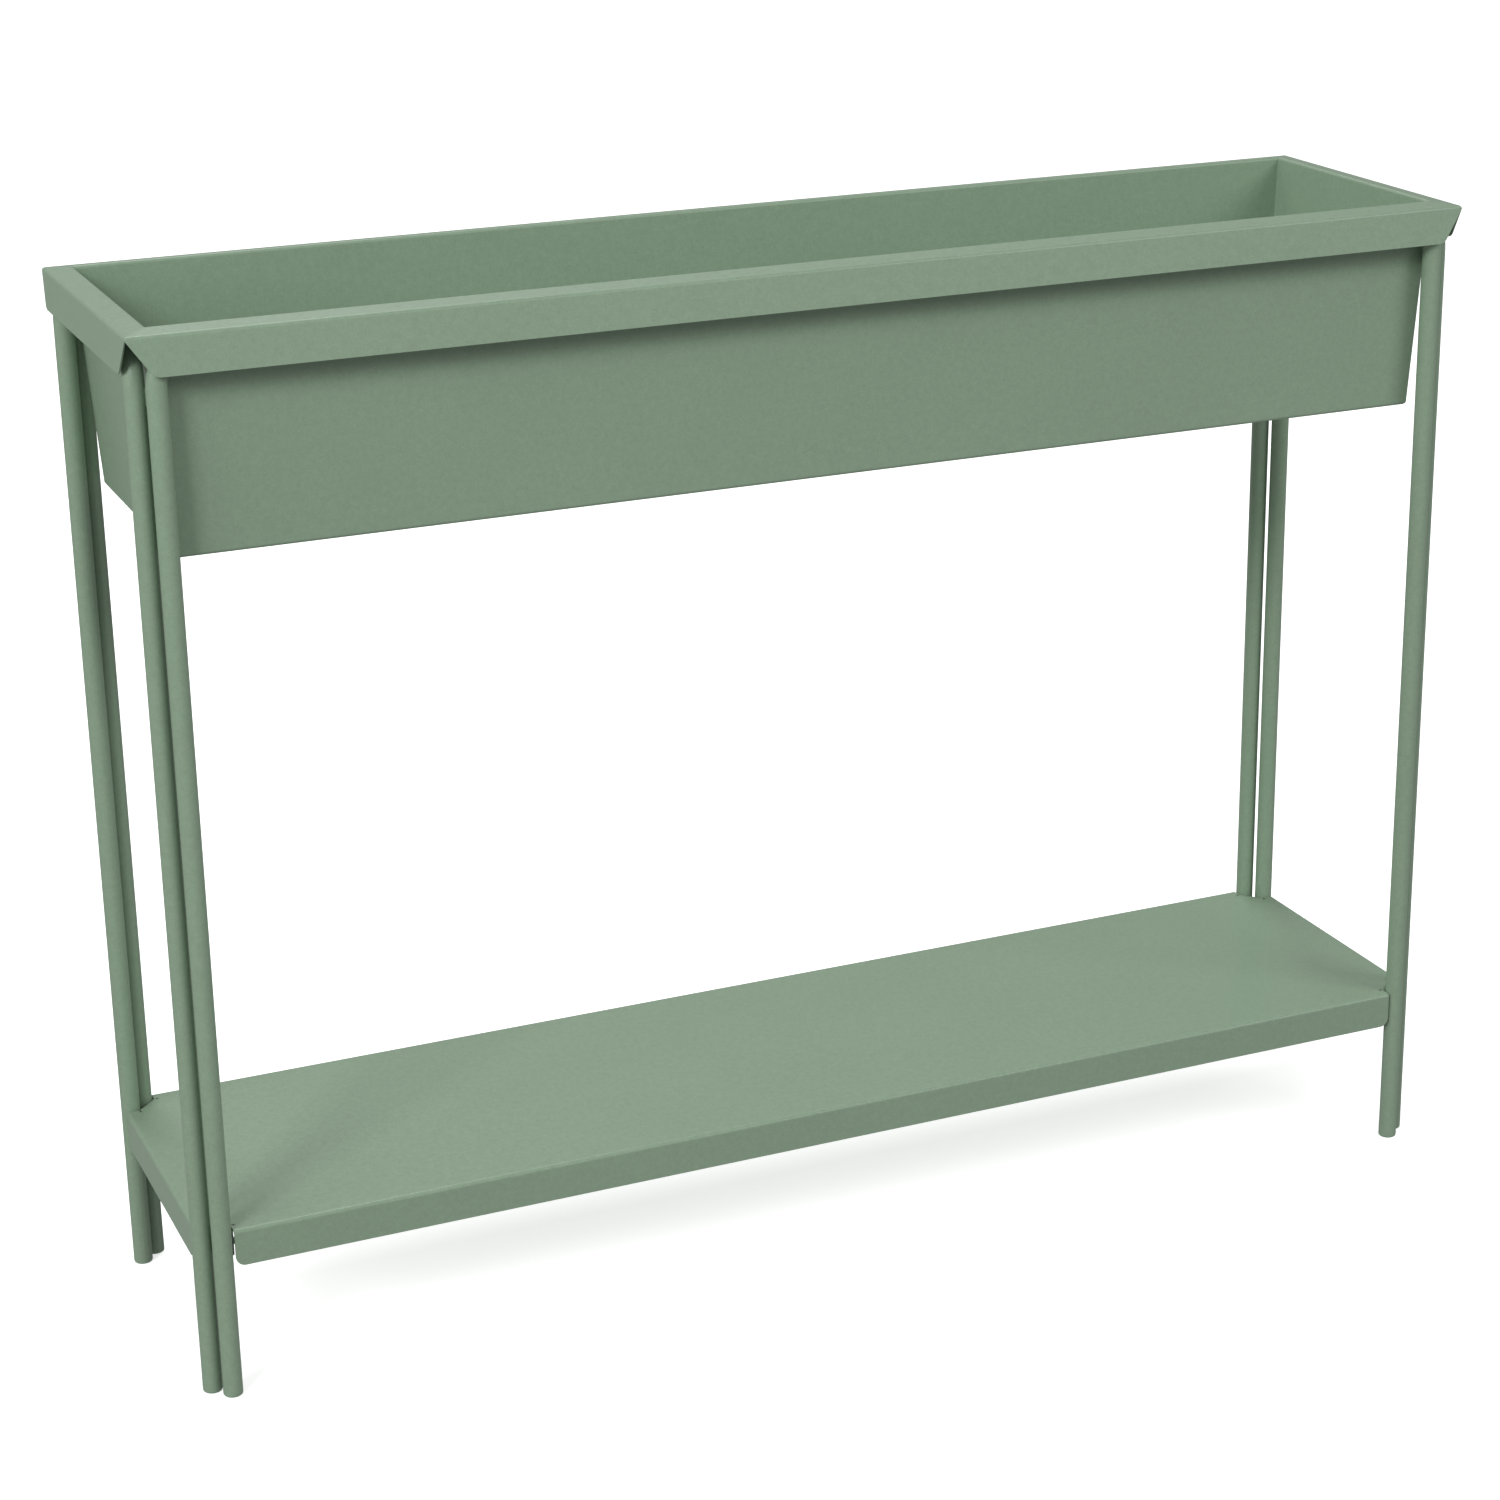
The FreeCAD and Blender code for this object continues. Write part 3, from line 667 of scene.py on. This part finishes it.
WELD_SIDES = 16
WELD_RINGS = 57
WELD_RIPPLES = 9
# Half width and half depth of a bead between its ripples, and what a ripple adds to each.
WELD_WIDTH = 0.0030
WELD_WIDTH_RIPPLE = 0.0003
WELD_DEPTH = 0.0014
WELD_DEPTH_RIPPLE = 0.0004
# How far the bead lies inside the line between the tubes, and how far its ripples curve.
WELD_INSET = 0.0026
WELD_SAG = 0.0006
WELD_SMOOTH = math.radians(60)


def weld_ring(centre, across, out, share):
    """One ring of a weld bead, at a share of its height."""
    ripple = 0.5 + 0.5 * math.cos(2 * math.pi * share * WELD_RIPPLES)
    # full width along the bead, thin at both ends
    taper = min(1.0, math.sin(math.pi * share) * 3.5 + 0.08)
    width = (WELD_WIDTH + WELD_WIDTH_RIPPLE * ripple) * taper
    depth = (WELD_DEPTH + WELD_DEPTH_RIPPLE * ripple) * taper
    ring = []
    for k in range(WELD_SIDES):
        angle = 2 * math.pi * k / WELD_SIDES
        # each ripple's sides stand higher than its middle
        sag = WELD_SAG * math.cos(angle) ** 2 * taper
        offset = across * width * math.cos(angle) + out * depth * math.sin(angle)
        ring.append(centre + offset + Vector((0, 0, sag)))
    return ring


def build_weld(corner, sx, sy):
    """A rippled weld bead in the inner side of the groove between a corner's tubes."""
    low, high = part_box(f"{corner}_weld_pad")
    between = (STAND.end_leg + STAND.long_leg) / 2
    out = Vector((sx * DIAGONAL, sy * DIAGONAL, 0))
    across = Vector((-sx * DIAGONAL, sy * DIAGONAL, 0))
    foot = Vector((sx * between.x, sy * between.y, 0)) - out * WELD_INSET
    rings = []
    for i in range(WELD_RINGS):
        share = i / (WELD_RINGS - 1)
        rings.append(weld_ring(foot + Vector((0, 0, low.z + (high.z - low.z) * share)), across, out, share))
    bm = bmesh.new()
    join_rings(bm, rings)
    bmesh.ops.recalc_face_normals(bm, faces=bm.faces)
    return mesh_object(f"{corner}_weld_bead", bm, finish_of("coat", "frame_powder"), WELD_SMOOTH)


# ------------------------------------------------------------------------- stage
# Each soft light: name, place, width and height, and power in watts.
LIGHTS = (
    ("key", (-3.9, -3.3, 3.5), (1.5, 1.5), 124.0),
    ("front", (3.1, -4.2, 3.4), (3.0, 2.0), 98.0),
    ("left", (-5.3, -1.35, 2.4), (3.0, 2.0), 72.0),
    ("back", (0.0, 3.44, 5.3), (3.0, 2.0), 130.0),
)
LIGHT_AIM = Vector((0.0, 0.0, 0.4))
SKY_STRENGTH = 0.29
FLOOR_RADIUS = 9.0
BACKDROP_HEIGHT = 6.0
BACKDROP_CURVE = 3.0
FLOOR_SIDES = 96
FLOOR_SMOOTH = math.radians(60)


def add_area(name, place, size, power):
    """A rectangular soft light that shines at the middle of the planter."""
    data = bpy.data.lights.new(name, "AREA")
    data.shape = "RECTANGLE"
    data.size, data.size_y = size
    data.energy = power
    lamp = bpy.data.objects.new(name, data)
    lamp.location = place
    lamp.rotation_euler = (LIGHT_AIM - Vector(place)).to_track_quat("-Z", "Y").to_euler()
    bpy.context.scene.collection.objects.link(lamp)


def build_sky():
    """Even white light from all round."""
    world = bpy.data.worlds.new("studio")
    world.use_nodes = True
    background = world.node_tree.nodes["Background"]
    background.inputs["Color"].default_value = (1.0, 1.0, 1.0, 1.0)
    background.inputs["Strength"].default_value = SKY_STRENGTH
    bpy.context.scene.world = world


def build_floor():
    """A wide round floor that curves up into a backdrop on every side."""
    bm = bmesh.new()
    corners = [(0.0, 0.0), (FLOOR_RADIUS, 0.0), (FLOOR_RADIUS, BACKDROP_HEIGHT)]
    path = rounded_path(corners, [BACKDROP_CURVE], steps=24)
    turns = [2 * math.pi * k / FLOOR_SIDES for k in range(FLOOR_SIDES + 1)]
    add_strip(bm, [[Vector((p.x * math.cos(a), p.x * math.sin(a), p.y)) for a in turns] for p in path])
    bmesh.ops.remove_doubles(bm, verts=bm.verts, dist=1e-5)
    bmesh.ops.recalc_face_normals(bm, faces=bm.faces)
    bm.normal_update()
    if sum(face.normal.z * face.calc_area() for face in bm.faces) < 0:
        bmesh.ops.reverse_faces(bm, faces=bm.faces)
    return mesh_object("studio_floor", bm, finish_of("paper", "studio_paper"), FLOOR_SMOOTH)


CAMERA_PLACE = (-0.9398, -2.1901, 1.2242)
# Which way the camera looks, in degrees: turned to the right, down, and rolled.
CAMERA_TURN = 24.145
CAMERA_DROP = 19.223
CAMERA_ROLL = 0.504


def build_camera():
    """Three-quarter view from the front left, a little above the rim."""
    data = bpy.data.cameras.new("camera")
    data.sensor_width = 36.0
    data.lens = 80.44
    data.shift_x = -0.0567
    data.shift_y = -0.0193
    data.clip_end = 60.0
    camera = bpy.data.objects.new("camera", data)
    camera.location = CAMERA_PLACE
    turn = Matrix.Rotation(math.radians(-CAMERA_TURN), 3, "Z")
    drop = Matrix.Rotation(math.radians(90.0 - CAMERA_DROP), 3, "X")
    roll = Matrix.Rotation(math.radians(-CAMERA_ROLL), 3, "Z")
    camera.rotation_euler = (turn @ drop @ roll).to_euler()
    bpy.context.scene.collection.objects.link(camera)
    bpy.context.scene.camera = camera


# --------------------------------------------------------------------- operators
class PLANTER_OT_trough(bpy.types.Operator):
    """Build the folded trough with its lips and skirts"""

    bl_idname = "planter.trough"
    bl_label = "Trough"

    def execute(self, context):
        piece = build_trough(context.scene.planter_sizes)
        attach(piece, "trough")
        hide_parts(*TROUGH_NODES)
        return {"FINISHED"}


class PLANTER_OT_shelf(bpy.types.Operator):
    """Build the folded shelf with its aprons and corner tabs"""

    bl_idname = "planter.shelf"
    bl_label = "Shelf"

    def execute(self, context):
        piece = build_shelf(context.scene.planter_sizes)
        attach(piece, "stand")
        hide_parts("shelf")
        return {"FINISHED"}


class PLANTER_OT_hoops(bpy.types.Operator):
    """Paint the bent-tube hoops and their foot caps"""

    bl_idname = "planter.hoops"
    bl_label = "Hoops and Feet"

    def execute(self, context):
        coat = finish_of("coat", "frame_powder")
        feet = [f"{corner}_foot_{kind}" for corner in CORNERS for kind in ("long", "end")]
        for name in (*HOOPS, *feet):
            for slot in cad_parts[name].material_slots:
                slot.material = coat
        return {"FINISHED"}


class PLANTER_OT_welds(bpy.types.Operator):
    """Build the weld beads that join the tubes of each corner"""

    bl_idname = "planter.welds"
    bl_label = "Corner Welds"

    def execute(self, context):
        for corner, (sx, sy) in CORNERS.items():
            piece = build_weld(corner, sx, sy)
            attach(piece, "stand")
            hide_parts(f"{corner}_weld_pad")
        return {"FINISHED"}


class PLANTER_OT_screws(bpy.types.Operator):
    """Build the button-head screws that hold the shelf"""

    bl_idname = "planter.screws"
    bl_label = "Shelf Screws"

    def execute(self, context):
        piece = build_screws(context.scene.planter_sizes)
        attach(piece, "stand")
        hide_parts("shelf_screws")
        return {"FINISHED"}


class PLANTER_OT_stage(bpy.types.Operator):
    """Build the studio floor, lights and camera"""

    bl_idname = "planter.stage"
    bl_label = "Stage"

    def execute(self, context):
        floor = build_floor()
        floor.visible_diffuse = False
        floor.visible_glossy = False
        for light in LIGHTS:
            add_area(*light)
        build_sky()
        context.scene.view_settings.view_transform = "Standard"
        build_camera()
        return {"FINISHED"}


class PLANTER_PT_panel(bpy.types.Panel):
    """Lists the planter's pieces in the sidebar"""

    bl_idname = "PLANTER_PT_panel"
    bl_label = "Raised Planter"
    bl_space_type = "VIEW_3D"
    bl_region_type = "UI"
    bl_category = "Planter"

    def draw(self, context):
        layout = self.layout
        for operator in OPERATORS:
            layout.operator(operator.bl_idname)
        for group in (context.scene.planter_sizes, context.scene.planter_finish):
            box = layout.box()
            for name in group.__annotations__:
                box.prop(group, name)


OPERATORS = (
    PLANTER_OT_trough,
    PLANTER_OT_shelf,
    PLANTER_OT_hoops,
    PLANTER_OT_welds,
    PLANTER_OT_screws,
    PLANTER_OT_stage,
)
CLASSES = (PLANTER_PG_sizes, PLANTER_PG_finish, *OPERATORS, PLANTER_PT_panel)


def register():
    for cls in CLASSES:
        bpy.utils.register_class(cls)
    bpy.types.Scene.planter_sizes = PointerProperty(type=PLANTER_PG_sizes)
    bpy.types.Scene.planter_finish = PointerProperty(type=PLANTER_PG_finish)


def unregister():
    del bpy.types.Scene.planter_finish
    del bpy.types.Scene.planter_sizes
    for cls in reversed(CLASSES):
        bpy.utils.unregister_class(cls)


def main():
    """Builds every piece and the stage."""
    register()
    bpy.ops.planter.trough()
    bpy.ops.planter.shelf()
    bpy.ops.planter.hoops()
    bpy.ops.planter.welds()
    bpy.ops.planter.screws()
    bpy.ops.planter.stage()


if __name__ == "__main__":
    main()
